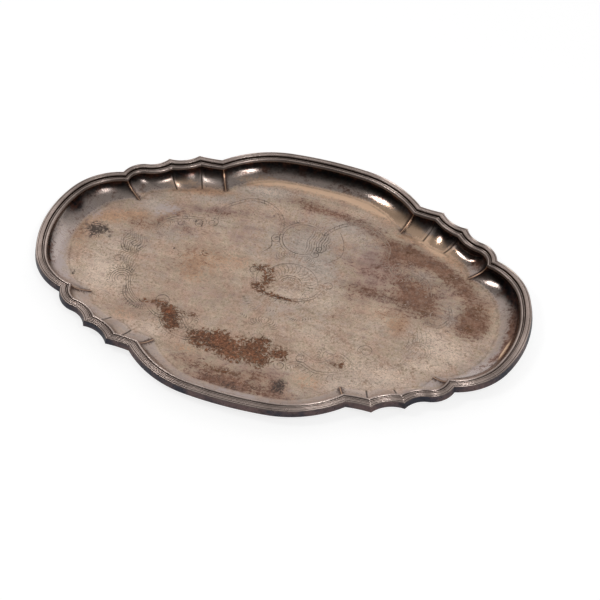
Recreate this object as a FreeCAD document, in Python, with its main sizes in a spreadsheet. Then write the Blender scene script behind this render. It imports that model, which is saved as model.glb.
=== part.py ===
"""Oval salver with a lobed outline: a raised tray body and a moulded border in eight mitred sections.

Millimetres, +Z up.  The origin is on the underside of the field, at the middle of the tray; +X runs
along the long axis.  The outline is the same in all four quarters: only the first one, from the
end (+X) to the side (+Y), is described, and the rest is its mirror image.
"""
import FreeCAD, Part
import math
import os

from FreeCAD import Vector

os.makedirs("parts", exist_ok=True)
doc = FreeCAD.newDocument("salver")

# ---------------------------------------------------------------------------------------------
# Driving dimensions
# ---------------------------------------------------------------------------------------------
SIZES = [
    # overall form
    ("half_length", 240.0, "centre to the outermost edge at the end"),
    ("half_width", 158.3, "centre to the outermost edge at the side"),
    ("well_depth", 17.0, "field to the crest of the border"),
    ("sheet", 1.2, "gauge of the body sheet"),
    # long bows of the outline
    ("end_radius", 114.0, "flat middle arc of the end bow"),
    ("end_flat", 45.0, "half the chord of that arc"),
    ("side_radius", 380.0, "flat middle arc of the side bow"),
    ("side_flat", 38.0, "half the chord of that arc"),
    # corner group: set back from the end (x) and from the side (y)
    ("end_cusp_x", 49.2, "inward cusp beside the end bow"),
    ("end_cusp_y", 78.1, ""),
    ("turn_x", 69.0, "where the round lobe turns hollow"),
    ("turn_y", 60.3, ""),
    ("turn_heading", 171.0, "direction of the outline there, degrees"),
    ("spur_x", 86.3, "first outward point"),
    ("spur_y", 46.5, ""),
    ("ear_x", 113.5, "second outward point"),
    ("ear_y", 33.5, ""),
    ("side_cusp_x", 137.0, "inward cusp beside the side bow"),
    ("side_cusp_y", 32.3, ""),
    ("scallop_dip", 4.2, "hollow of the scallop between the points"),
    ("hood_dip", 0.5, "hollow of the short straight by the side cusp"),
    # border moulding
    ("border_width", 11.6, "outermost edge to the inner edge"),
    ("skirt_drop", 7.6, "crest to the bottom of the turned-down skirt"),
    ("skirt_flare", 1.5, "how far the skirt leans out"),
    ("skirt_wall", 1.1, "thickness of the skirt"),
    ("band_fall", 0.7, "fall of the outer band from its crest to the skirt"),
    ("crest_inset", 6.7, "outermost edge to the inner side of the crest"),
    ("step_down", 2.9, "crest to the groove beside the inner bead"),
    ("riser_lean", 0.4, "how far the riser leans"),
    ("bead_height", 0.9, "height of the bead along the inner edge above that groove"),
    ("bead_fall", 1.3, "plan run of the bead's slope to the inner edge"),
    ("inner_edge", 1.2, "thickness of the border's inner band"),
    # booge, the dished wall between the border and the field
    ("booge_end_run", 19.4, "breadth of the wall in plan at the end bows"),
    ("booge_side_run", 15.6, "the same at the side bows"),
    ("booge_foot_share", 0.375, "share of the wall's rise that goes up straight from its foot"),
    ("booge_steps", 5, "strips that follow the wall's curve"),
    ("foot_end_flat", 36.0, ""),
    ("foot_side_flat", 36.0, ""),
    ("end_ridge_x", 15.4, "plan run of the ridge below the end cusp"),
    ("end_ridge_y", 8.4, ""),
    ("turn_run_x", 14.0, "plan run of the wall below the lobe's turn"),
    ("turn_run_y", 4.6, ""),
    ("foot_heading", 158.0, "direction of the foot line there, degrees"),
    ("spur_valley_x", 11.0, "plan run of the crease below the first point"),
    ("spur_valley_y", 8.2, ""),
    ("ear_valley_x", 8.4, "plan run of the crease below the second point"),
    ("ear_valley_y", 14.6, ""),
    ("side_ridge_x", 9.2, "plan run of the ridge below the side cusp"),
    ("side_ridge_y", 12.6, ""),
    ("foot_scallop_dip", 0.8, ""),
    # seat of the border on the body
    ("seat_gap", 0.1, "flange edge to the inside of the skirt"),
]

sheet = doc.addObject("Spreadsheet::Sheet", "sizes")
for row, (alias, value, note) in enumerate(SIZES, start=1):
    sheet.set(f"A{row}", alias)
    sheet.set(f"B{row}", str(value))
    sheet.setAlias(f"B{row}", alias)
    sheet.set(f"C{row}", note)
doc.recompute()


def size(alias):
    """The value of a named cell."""
    return float(sheet.get(alias))


crest_z = size("sheet") + size("well_depth")
seat_z = crest_z - size("step_down") - size("inner_edge")
skirt_bottom_z = crest_z - size("skirt_drop")
flange_inset = size("skirt_flare") + size("skirt_wall") + size("seat_gap")


# ---------------------------------------------------------------------------------------------
# The outline of one quarter
# ---------------------------------------------------------------------------------------------
def heading_vector(degrees):
    """Unit vector in plan."""
    return Vector(math.cos(math.radians(degrees)), math.sin(math.radians(degrees)), 0)


def left_of(direction):
    """Inward normal, because the outline runs anticlockwise."""
    return Vector(-direction.y, direction.x, 0)


def arc_mid(start, direction, end):
    """Middle point of the arc that leaves start along direction and reaches end."""
    chord = end - start
    half_turn = direction.getAngle(chord)
    if direction.cross(chord).z < 0:
        half_turn = -half_turn
    rise = chord.Length / 2 * math.tan(half_turn / 2)
    right = left_of(chord).normalize() * -1
    return start + chord * 0.5 + right * rise


def end_direction(start, middle, end):
    """Direction of travel at the end of the arc through three points."""
    circle = Part.Arc(start, middle, end)
    return Vector(circle.tangent(circle.LastParameter)[0])


def start_direction(start, middle, end):
    """Direction of travel at the start of the arc through three points."""
    circle = Part.Arc(start, middle, end)
    return Vector(circle.tangent(circle.FirstParameter)[0])


def dipped_mid(start, end, dip):
    """Middle of the arc from start to end that is hollowed inward by dip."""
    chord = end - start
    return start + chord * 0.5 + left_of(chord).normalize() * dip


def outer_quarter():
    """Points that fix the outermost edge."""
    length = size("half_length")
    width = size("half_width")

    def corner(name):
        return Vector(length - size(name + "_x"), width - size(name + "_y"), 0)

    quarter = {
        "end": length,
        "side": width,
        "end_radius": size("end_radius"),
        "end_flat": size("end_flat"),
        "side_radius": size("side_radius"),
        "side_flat": size("side_flat"),
        "end_cusp": corner("end_cusp"),
        "turn": corner("turn"),
        "turn_heading": size("turn_heading"),
        "spur": corner("spur"),
        "ear": corner("ear"),
        "side_cusp": corner("side_cusp"),
    }
    quarter["scallop"] = dipped_mid(quarter["spur"], quarter["ear"], size("scallop_dip"))
    quarter["hood"] = dipped_mid(quarter["ear"], quarter["side_cusp"], size("hood_dip"))
    return quarter


def quarter_arcs(quarter):
    """The eight arcs of a quarter as (start, middle, end), from the end bow to the side bow."""
    end_angle = math.degrees(math.asin(quarter["end_flat"] / quarter["end_radius"]))
    end_centre = Vector(quarter["end"] - quarter["end_radius"], 0, 0)
    end_tip = Vector(quarter["end"], 0, 0)
    end_joint = end_centre + heading_vector(end_angle) * quarter["end_radius"]
    end_half = end_centre + heading_vector(end_angle / 2) * quarter["end_radius"]
    side_angle = math.degrees(math.asin(quarter["side_flat"] / quarter["side_radius"]))
    side_centre = Vector(0, quarter["side"] - quarter["side_radius"], 0)
    side_tip = Vector(0, quarter["side"], 0)
    side_joint = side_centre + heading_vector(90 - side_angle) * quarter["side_radius"]
    side_half = side_centre + heading_vector(90 - side_angle / 2) * quarter["side_radius"]
    end_cusp = quarter["end_cusp"]
    turn = quarter["turn"]
    spur = quarter["spur"]
    ear = quarter["ear"]
    side_cusp = quarter["side_cusp"]
    at_turn = heading_vector(quarter["turn_heading"])
    return [
        (end_tip, end_half, end_joint),
        (end_joint, arc_mid(end_joint, heading_vector(90 + end_angle), end_cusp), end_cusp),
        (end_cusp, arc_mid(turn, at_turn * -1, end_cusp), turn),
        (turn, arc_mid(turn, at_turn, spur), spur),
        (spur, quarter["scallop"], ear),
        (ear, quarter["hood"], side_cusp),
        (side_cusp, arc_mid(side_joint, heading_vector(-side_angle), side_cusp), side_joint),
        (side_joint, side_half, side_tip),
    ]


def slide_directions():
    """Where each point of the outline goes when the outline is set in by 1: along the mitre at a
    corner, along the inward normal elsewhere."""
    quarter = outer_quarter()
    arcs = quarter_arcs(quarter)
    slides = {"turn": left_of(heading_vector(quarter["turn_heading"]))}
    for name, before, after in (("end_cusp", 1, 2), ("spur", 3, 4), ("ear", 4, 5), ("side_cusp", 5, 6)):
        normal_in = left_of(end_direction(*arcs[before]))
        normal_out = left_of(start_direction(*arcs[after]))
        slides[name] = (normal_in + normal_out) * (1 / (1 + normal_in.dot(normal_out)))
    slides["scallop"] = left_of((quarter["ear"] - quarter["spur"]).normalize())
    slides["hood"] = left_of((quarter["side_cusp"] - quarter["ear"]).normalize())
    return slides


SLIDES = slide_directions()


def inset_quarter(inset):
    """The outline set in from the outermost edge, with mitred corners."""
    quarter = outer_quarter()
    quarter["end_flat"] *= 1 - inset / quarter["end_radius"]
    quarter["side_flat"] *= 1 - inset / quarter["side_radius"]
    for name in ("end", "side", "end_radius", "side_radius"):
        quarter[name] -= inset
    for name, slide in SLIDES.items():
        quarter[name] = quarter[name] + slide * inset
    return quarter


def foot_quarter():
    """The line where the booge meets the field."""
    quarter = inset_quarter(size("border_width"))
    for name in ("end", "end_radius"):
        quarter[name] -= size("booge_end_run")
    for name in ("side", "side_radius"):
        quarter[name] -= size("booge_side_run")
    quarter["end_flat"] = size("foot_end_flat")
    quarter["side_flat"] = size("foot_side_flat")
    quarter["turn_heading"] = size("foot_heading")
    for name, run in (
        ("end_cusp", "end_ridge"),
        ("turn", "turn_run"),
        ("spur", "spur_valley"),
        ("ear", "ear_valley"),
        ("side_cusp", "side_ridge"),
    ):
        quarter[name] = quarter[name] - Vector(size(run + "_x"), size(run + "_y"), 0)
    quarter["scallop"] = dipped_mid(quarter["spur"], quarter["ear"], size("foot_scallop_dip"))
    quarter["hood"] = dipped_mid(quarter["ear"], quarter["side_cusp"], size("hood_dip"))
    return quarter


def between(first, second, share):
    """Blend of two quarters; a share of 0 is the first one."""
    return {name: first[name] + (second[name] - first[name]) * share for name in first}


# ---------------------------------------------------------------------------------------------
# From a quarter to runs of edges
# ---------------------------------------------------------------------------------------------
def reflect(arcs, x_sign, y_sign):
    """The arcs of another quarter, still anticlockwise."""
    moved = [tuple(Vector(p.x * x_sign, p.y * y_sign, 0) for p in arc) for arc in arcs]
    if x_sign * y_sign > 0:
        return moved
    return [arc[::-1] for arc in reversed(moved)]


def joined(first, second):
    """One arc from two mirrored halves of a bow."""
    return (first[0], first[2], second[2])


def closed_outline(quarter):
    """All arcs of the outline, starting at the end bow on +X."""
    arcs = quarter_arcs(quarter)
    quarters = [reflect(arcs, 1, 1), reflect(arcs, -1, 1), reflect(arcs, -1, -1), reflect(arcs, 1, -1)]
    ring = [joined(quarters[3][-1], quarters[0][0])]
    for index, part in enumerate(quarters):
        ring += part[1:-1]
        if index < 3:
            ring.append(joined(part[-1], quarters[index + 1][0]))
    return ring


def edges_at(arcs, z):
    """Edges of the arcs at a height."""
    lift = Vector(0, 0, z)
    return [Part.Arc(a + lift, b + lift, c + lift).toShape() for a, b, c in arcs]


def wire_at(quarter, z):
    """Closed outline at a height."""
    return Part.Wire(edges_at(closed_outline(quarter), z))


# ---------------------------------------------------------------------------------------------
# Tray body: field, booge and the flange under the border, raised from one sheet
# ---------------------------------------------------------------------------------------------
def dish(name, top, foot_z, top_z):
    """Solid that fills the well.  The wall's section is a straight slope and a quarter of an ellipse
    added together, so it leaves the field at a crease and stands upright under the border."""
    foot = foot_quarter()
    steps = int(size("booge_steps"))
    straight = size("booge_foot_share")
    sections = []
    for step in range(steps + 1):
        angle = math.pi / 2 * step / steps
        rise = straight * math.sin(angle) + (1 - straight) * (1 - math.cos(angle))
        section = doc.addObject("Part::Feature", f"{name}_{step}")
        section.Shape = wire_at(between(foot, top, math.sin(angle)), foot_z + (top_z - foot_z) * rise)
        sections.append(section)
    loft = doc.addObject("Part::Loft", name)
    loft.Sections = sections
    loft.Solid = True
    loft.Ruled = True
    return loft


def tray_body():
    """The dished sheet."""
    wall_top = size("border_width")
    hollow = dish("well_hollow", inset_quarter(wall_top), size("sheet"), seat_z)
    outside = dish("well_outside", inset_quarter(wall_top - size("sheet")), 0, seat_z - size("sheet"))
    flange_outline = doc.addObject("Part::Feature", "flange_outline")
    flange_outline.Shape = Part.Face(wire_at(inset_quarter(flange_inset), seat_z))
    flange = doc.addObject("Part::Extrusion", "flange")
    flange.Base = flange_outline
    flange.Dir = Vector(0, 0, -1)
    flange.setExpression("LengthFwd", "sizes.sheet")
    blank = doc.addObject("Part::MultiFuse", "blank")
    blank.Shapes = [outside, flange]
    body = doc.addObject("Part::Cut", "tray_body")
    body.Base = blank
    body.Tool = hollow
    body.Label = "tray_body"
    return body


# ---------------------------------------------------------------------------------------------
# Border: one moulding, run round the outline with mitred corners
# ---------------------------------------------------------------------------------------------
def border_profile():
    """Closed cross-section as (inset, height), from the bottom of the skirt up and over."""
    flare = size("skirt_flare")
    groove_z = crest_z - size("step_down")
    return [
        (0.0, skirt_bottom_z),
        (flare, crest_z - size("band_fall")),
        (size("crest_inset"), crest_z),
        (size("crest_inset") + size("riser_lean"), groove_z),
        (size("border_width") - size("bead_fall"), groove_z + size("bead_height")),
        (size("border_width"), seat_z),
        (flare + size("skirt_wall"), seat_z),
        (size("skirt_wall"), skirt_bottom_z),
    ]


def border_row(pick, inset, z):
    """Run of the outline at one point of the moulding's cross-section."""
    arcs = pick(closed_outline(inset_quarter(inset)))
    lift = Vector(0, 0, z)
    return {"edges": edges_at(arcs, z), "z": z, "start": arcs[0][0] + lift, "end": arcs[-1][2] + lift}


def strip_faces(row, next_row):
    """Faces between two rows: one flat face where they are level, ruled ones elsewhere."""
    if row["z"] == next_row["z"]:
        mitres = [Part.makeLine(row[side], next_row[side]) for side in ("start", "end")]
        return [Part.Face(Part.Wire(Part.__sortEdges__(row["edges"] + next_row["edges"] + mitres)))]
    return [Part.makeRuledSurface(*pair) for pair in zip(row["edges"], next_row["edges"])]


def border_solid(pick):
    """Solid of a run of the border; pick chooses its arcs from the closed outline."""
    rows = [border_row(pick, inset, z) for inset, z in border_profile()]
    faces = []
    for row, next_row in zip(rows, rows[1:] + rows[:1]):
        faces += strip_faces(row, next_row)
    for side in ("start", "end"):
        corners = [row[side] for row in rows]
        faces.append(Part.Face(Part.makePolygon(corners + corners[:1])))
    shell = Part.makeShell(faces)
    shell.sewShape()
    solid = Part.makeSolid(shell)
    if solid.Volume < 0:
        solid.reverse()
    return solid


# The sections follow each other anticlockwise, each with its number of arcs.
BOW_ARCS = 3
CORNER_ARCS = 4
SECTIONS = [
    ("border_end_right", BOW_ARCS),
    ("border_corner_back_right", CORNER_ARCS),
    ("border_side_back", BOW_ARCS),
    ("border_corner_back_left", CORNER_ARCS),
    ("border_end_left", BOW_ARCS),
    ("border_corner_front_left", CORNER_ARCS),
    ("border_side_front", BOW_ARCS),
    ("border_corner_front_right", CORNER_ARCS),
]


def border_section(label, first, count):
    """One mitred length of the border, from its first arc in the closed outline."""
    section = doc.addObject("Part::Feature", label)
    section.Shape = border_solid(lambda ring: [ring[(first + step) % len(ring)] for step in range(count)])
    section.Label = label
    return section


def border():
    """All the sections.  The closed outline starts at the middle arc of the +X end bow, so the
    first section's first arc is the last one of the outline."""
    sections = []
    first = -1
    for label, count in SECTIONS:
        sections.append(border_section(label, first, count))
        first += count
    return sections


# ---------------------------------------------------------------------------------------------
# Build, check and export
# ---------------------------------------------------------------------------------------------
nodes = [tray_body()] + border()
doc.recompute()

for item in doc.Objects:
    if "Invalid" in item.State or "Error" in item.State:
        raise RuntimeError(f"{item.Name} did not build: {item.State}")
for node in nodes:
    shape = node.Shape
    if shape.isNull() or not shape.isValid() or len(shape.Solids) != 1:
        raise RuntimeError(f"{node.Label} is not one valid solid")
    shape.exportStep(f"parts/{node.Label}.step")
    box = shape.BoundBox
    print(f"{node.Label:28s} volume {shape.Volume:9.0f}  x {box.XMin:7.1f} {box.XMax:7.1f}"
          f"  y {box.YMin:7.1f} {box.YMax:7.1f}  z {box.ZMin:5.1f} {box.ZMax:5.1f}")
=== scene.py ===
"""Dressed model of an old oval salver in worn silver plate, chased and reed-bordered.

Every surface is worked out in millimetres as a function of two parameters: one runs round the
lobed outline and the other across it, from the outermost edge inward.  The outline's quarter is
described once and mirrored.  Meshes are scaled to metres when they are made.
"""
import math

import bpy
import numpy as np
from mathutils import Matrix, Vector


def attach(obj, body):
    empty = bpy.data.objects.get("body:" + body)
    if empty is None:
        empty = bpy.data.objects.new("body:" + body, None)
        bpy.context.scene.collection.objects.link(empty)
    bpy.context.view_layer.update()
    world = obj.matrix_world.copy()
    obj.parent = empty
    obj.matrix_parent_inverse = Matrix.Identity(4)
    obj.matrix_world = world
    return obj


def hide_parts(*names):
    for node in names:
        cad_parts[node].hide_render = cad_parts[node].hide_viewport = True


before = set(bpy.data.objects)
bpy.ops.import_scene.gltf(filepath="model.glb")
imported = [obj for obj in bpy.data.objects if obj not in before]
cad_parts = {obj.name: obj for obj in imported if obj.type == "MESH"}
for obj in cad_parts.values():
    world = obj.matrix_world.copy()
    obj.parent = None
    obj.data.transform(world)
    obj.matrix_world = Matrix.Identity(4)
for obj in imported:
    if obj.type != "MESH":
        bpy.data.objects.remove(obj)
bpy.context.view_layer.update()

MM = 0.001
SHEET = 1.2                     # gauge of the body
SEAT_Z = 14.1                   # where the border sits on the body
SKIRT_Z = 10.6                  # lower edge of the turned-down skirt
BORDER_WIDTH = 11.6
HALF_LENGTH = 240.0             # middle of the tray to the outermost edge
HALF_WIDTH = 158.3
END_RUN, SIDE_RUN = 19.4, 15.6  # border's inner edge to the wall's foot, in plan


# ---------------------------------------------------------------------------------------------
# Outline of the tray
# ---------------------------------------------------------------------------------------------
def heading(degrees):
    """Unit vector in plan."""
    angle = math.radians(degrees)
    return np.array([math.cos(angle), math.sin(angle)])


def left_of(vector):
    """The vector turned a quarter to the left."""
    return np.array([-vector[1], vector[0]])


def unit(vector):
    """The vector at length 1."""
    return vector / np.hypot(*vector)


def arc_mid(start, direction, end):
    """Middle of the arc that leaves start along direction: half the chord times the tangent of half
    the turn, to the right of the chord's middle."""
    chord = end - start
    turn = math.atan2(direction[0] * chord[1] - direction[1] * chord[0], direction @ chord)
    return start + chord / 2 - left_of(chord) / 2 * math.tan(turn / 2)


def dipped_mid(start, end, dip):
    """Middle of the arc from start to end that is hollowed inward by dip."""
    chord = end - start
    return start + chord / 2 + left_of(unit(chord)) * dip


def circle_through(a, b, c):
    """Centre and radius of the circle through three points: the centre is as far from each."""
    centre = np.linalg.solve(np.array([b - a, c - a]) * 2, np.array([b @ b - a @ a, c @ c - a @ a]))
    return centre, np.hypot(*(a - centre))


def tangent_at(arc, point):
    """Direction of travel of the arc at a point on it."""
    centre, _ = circle_through(*arc)
    tangent = unit(left_of(point - centre))
    return tangent if tangent @ (arc[2] - arc[0]) > 0 else -tangent


def corner(from_end, from_side):
    """Point of the first quarter, set back from the end and from the side."""
    return np.array([HALF_LENGTH - from_end, HALF_WIDTH - from_side])


def outer_quarter():
    """Points and radii that fix the outermost edge between the end (+X) and the side (+Y)."""
    quarter = {
        "end": HALF_LENGTH, "end_radius": 114.0, "end_flat": 45.0,
        "side": HALF_WIDTH, "side_radius": 380.0, "side_flat": 38.0,
        "end_cusp": corner(49.2, 78.1), "turn": corner(69.0, 60.3), "turn_heading": 171.0,
        "spur": corner(86.3, 46.5), "ear": corner(113.5, 33.5), "side_cusp": corner(137.0, 32.3),
    }
    quarter["scallop"] = dipped_mid(quarter["spur"], quarter["ear"], 4.2)
    quarter["hood"] = dipped_mid(quarter["ear"], quarter["side_cusp"], 0.5)
    return quarter


def quarter_arcs(quarter):
    """The eight arcs of a quarter, each as its start, middle and end."""
    end_angle = math.degrees(math.asin(quarter["end_flat"] / quarter["end_radius"]))
    end_centre = np.array([quarter["end"] - quarter["end_radius"], 0.0])
    end_joint = end_centre + heading(end_angle) * quarter["end_radius"]
    end_half = end_centre + heading(end_angle / 2) * quarter["end_radius"]
    side_angle = math.degrees(math.asin(quarter["side_flat"] / quarter["side_radius"]))
    side_centre = np.array([0.0, quarter["side"] - quarter["side_radius"]])
    side_joint = side_centre + heading(90 - side_angle) * quarter["side_radius"]
    side_half = side_centre + heading(90 - side_angle / 2) * quarter["side_radius"]
    end_cusp, turn, spur = quarter["end_cusp"], quarter["turn"], quarter["spur"]
    ear, side_cusp = quarter["ear"], quarter["side_cusp"]
    at_turn = heading(quarter["turn_heading"])
    return [
        (np.array([quarter["end"], 0.0]), end_half, end_joint),
        (end_joint, arc_mid(end_joint, heading(90 + end_angle), end_cusp), end_cusp),
        (end_cusp, arc_mid(turn, -at_turn, end_cusp), turn),
        (turn, arc_mid(turn, at_turn, spur), spur),
        (spur, quarter["scallop"], ear),
        (ear, quarter["hood"], side_cusp),
        (side_cusp, arc_mid(side_joint, heading(-side_angle), side_cusp), side_joint),
        (side_joint, side_half, np.array([0.0, quarter["side"]])),
    ]


def slide_directions():
    """Where each point goes when the outline is set in by 1: along the mitre at a corner, along the
    inward normal elsewhere."""
    quarter = outer_quarter()
    arcs = quarter_arcs(quarter)
    slides = {"turn": left_of(heading(quarter["turn_heading"]))}
    for name, before, after in (("end_cusp", 1, 2), ("spur", 3, 4), ("ear", 4, 5), ("side_cusp", 5, 6)):
        normal_in = left_of(tangent_at(arcs[before], arcs[before][2]))
        normal_out = left_of(tangent_at(arcs[after], arcs[after][0]))
        slides[name] = (normal_in + normal_out) / (1 + normal_in @ normal_out)
    slides["scallop"] = left_of(unit(quarter["ear"] - quarter["spur"]))
    slides["hood"] = left_of(unit(quarter["side_cusp"] - quarter["ear"]))
    return slides


SLIDES = slide_directions()


def inset_quarter(inset):
    """The quarter set in from the outermost edge, with mitred corners."""
    quarter = outer_quarter()
    quarter["end_flat"] *= 1 - inset / quarter["end_radius"]
    quarter["side_flat"] *= 1 - inset / quarter["side_radius"]
    for name in ("end", "side", "end_radius", "side_radius"):
        quarter[name] -= inset
    for name, slide in SLIDES.items():
        quarter[name] = quarter[name] + slide * inset
    return quarter


def foot_quarter():
    """The foot: the line where the booge, the curved wall, meets the field.  It lies nearer the border
    at the sides than at the ends and cuts the corners."""
    quarter = inset_quarter(BORDER_WIDTH)
    for name, run in (("end", END_RUN), ("end_radius", END_RUN), ("side", SIDE_RUN),
                      ("side_radius", SIDE_RUN)):
        quarter[name] -= run
    quarter["end_flat"] = quarter["side_flat"] = 36.0
    quarter["turn_heading"] = 158.0
    for name, run in (("end_cusp", (15.4, 9.4)), ("turn", (14.6, 8.6)), ("spur", (10.0, 13.2)),
                      ("ear", (7.2, 18.0)), ("side_cusp", (8.2, 16.6))):
        quarter[name] = quarter[name] - np.array(run)
    quarter["scallop"] = dipped_mid(quarter["spur"], quarter["ear"], 1.6)
    quarter["hood"] = dipped_mid(quarter["ear"], quarter["side_cusp"], 0.8)
    return quarter


def between(first, second, share):
    """Blend of two quarters; a share of 0 is the first one."""
    return {name: first[name] + (second[name] - first[name]) * share for name in first}


def along(arc, shares):
    """Points of an arc at shares of its sweep: centre plus radius times (cosine, sine)."""
    centre, radius = circle_through(*arc)
    first, middle, last = (math.atan2(*(point - centre)[::-1]) for point in arc)
    sweep = (last - first) % (2 * math.pi)
    if (middle - first) % (2 * math.pi) > sweep:
        sweep -= 2 * math.pi
    angles = first + sweep * shares
    return centre + radius * np.column_stack([np.cos(angles), np.sin(angles)])


# Steps on each arc of a quarter, from the end bow to the side bow.
ARC_STEPS = (16, 36, 26, 16, 24, 20, 36, 16)
QUARTER_STEPS = sum(ARC_STEPS)
ROUND_STEPS = 4 * QUARTER_STEPS


def ring(quarter):
    """The whole closed outline, anticlockwise from the middle of the end bow on +X."""
    runs = [along(arc, np.linspace(0, 1, steps + 1))
            for arc, steps in zip(quarter_arcs(quarter), ARC_STEPS)]
    first = np.vstack([run[:-1] for run in runs] + [runs[-1][-1:]])
    second = (first * [-1, 1])[::-1]
    return np.vstack([first[:-1], second[:-1], -first[:-1], -second[:-1]])


ARC_ENDS = np.concatenate([[0], np.cumsum(ARC_STEPS)])
# Corners of a quarter, by how many arcs lie before them.
END_CUSP, SPUR, EAR, SIDE_CUSP = 2, 4, 5, 6


def column_at(quarter_index, corner_index):
    """Column of a corner on the closed ring: even quarters run forward, odd ones backward."""
    along_quarter = ARC_ENDS[corner_index]
    if quarter_index % 2:
        along_quarter = QUARTER_STEPS - along_quarter
    return quarter_index * QUARTER_STEPS + along_quarter


def softened(points):
    """The closed row with its corners rounded: half a point's own place and a quarter of each
    neighbour's."""
    return points / 2 + (np.roll(points, 1, 0) + np.roll(points, -1, 0)) / 4


# ---------------------------------------------------------------------------------------------
# Meshes
# ---------------------------------------------------------------------------------------------
def mesh_object(name, vertices, faces, material, smooth_below=180.0, marks=None):
    """A mesh at the origin from millimetre vertices and arrays of faces.  Marks are numbers per
    vertex that the material reads by name; edges sharper than smooth_below degrees stay crisp."""
    mesh = bpy.data.meshes.new(name)
    mesh.from_pydata((vertices * MM).tolist(), [], sum((block.tolist() for block in faces), []))
    mesh.polygons.foreach_set("use_smooth", np.ones(len(mesh.polygons), bool))
    if smooth_below < 180.0:
        mesh.set_sharp_from_angle(angle=math.radians(smooth_below))
    for mark_name, values in (marks or {}).items():
        mesh.attributes.new(mark_name, "FLOAT", "POINT").data.foreach_set("value", values)
    mesh.update()
    mesh.materials.append(material)
    piece = bpy.data.objects.new(name, mesh)
    bpy.context.scene.collection.objects.link(piece)
    return piece


def grid_faces(rows, columns, closed_rows=False, closed_columns=False):
    """Quads between the rows and columns of a grid of vertices; closed directions wrap round.  They
    face left of the columns' run when rows go inward."""
    row = np.arange(rows if closed_rows else rows - 1)[:, None]
    column = np.arange(columns if closed_columns else columns - 1)[None, :]
    next_row = (row + 1) % rows
    next_column = (column + 1) % columns
    quads = np.stack([row * columns + column, next_row * columns + column,
                      next_row * columns + next_column, row * columns + next_column], axis=-1)
    return quads.reshape(-1, 4)


def fan(rim, pole):
    """Triangles from a closed run of vertices to one vertex."""
    return np.column_stack([rim, np.roll(rim, -1), np.full(len(rim), pole)])


def lifted(plan, z):
    """Plan points at a height."""
    return np.column_stack([plan, np.full(len(plan), float(z))])


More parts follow.
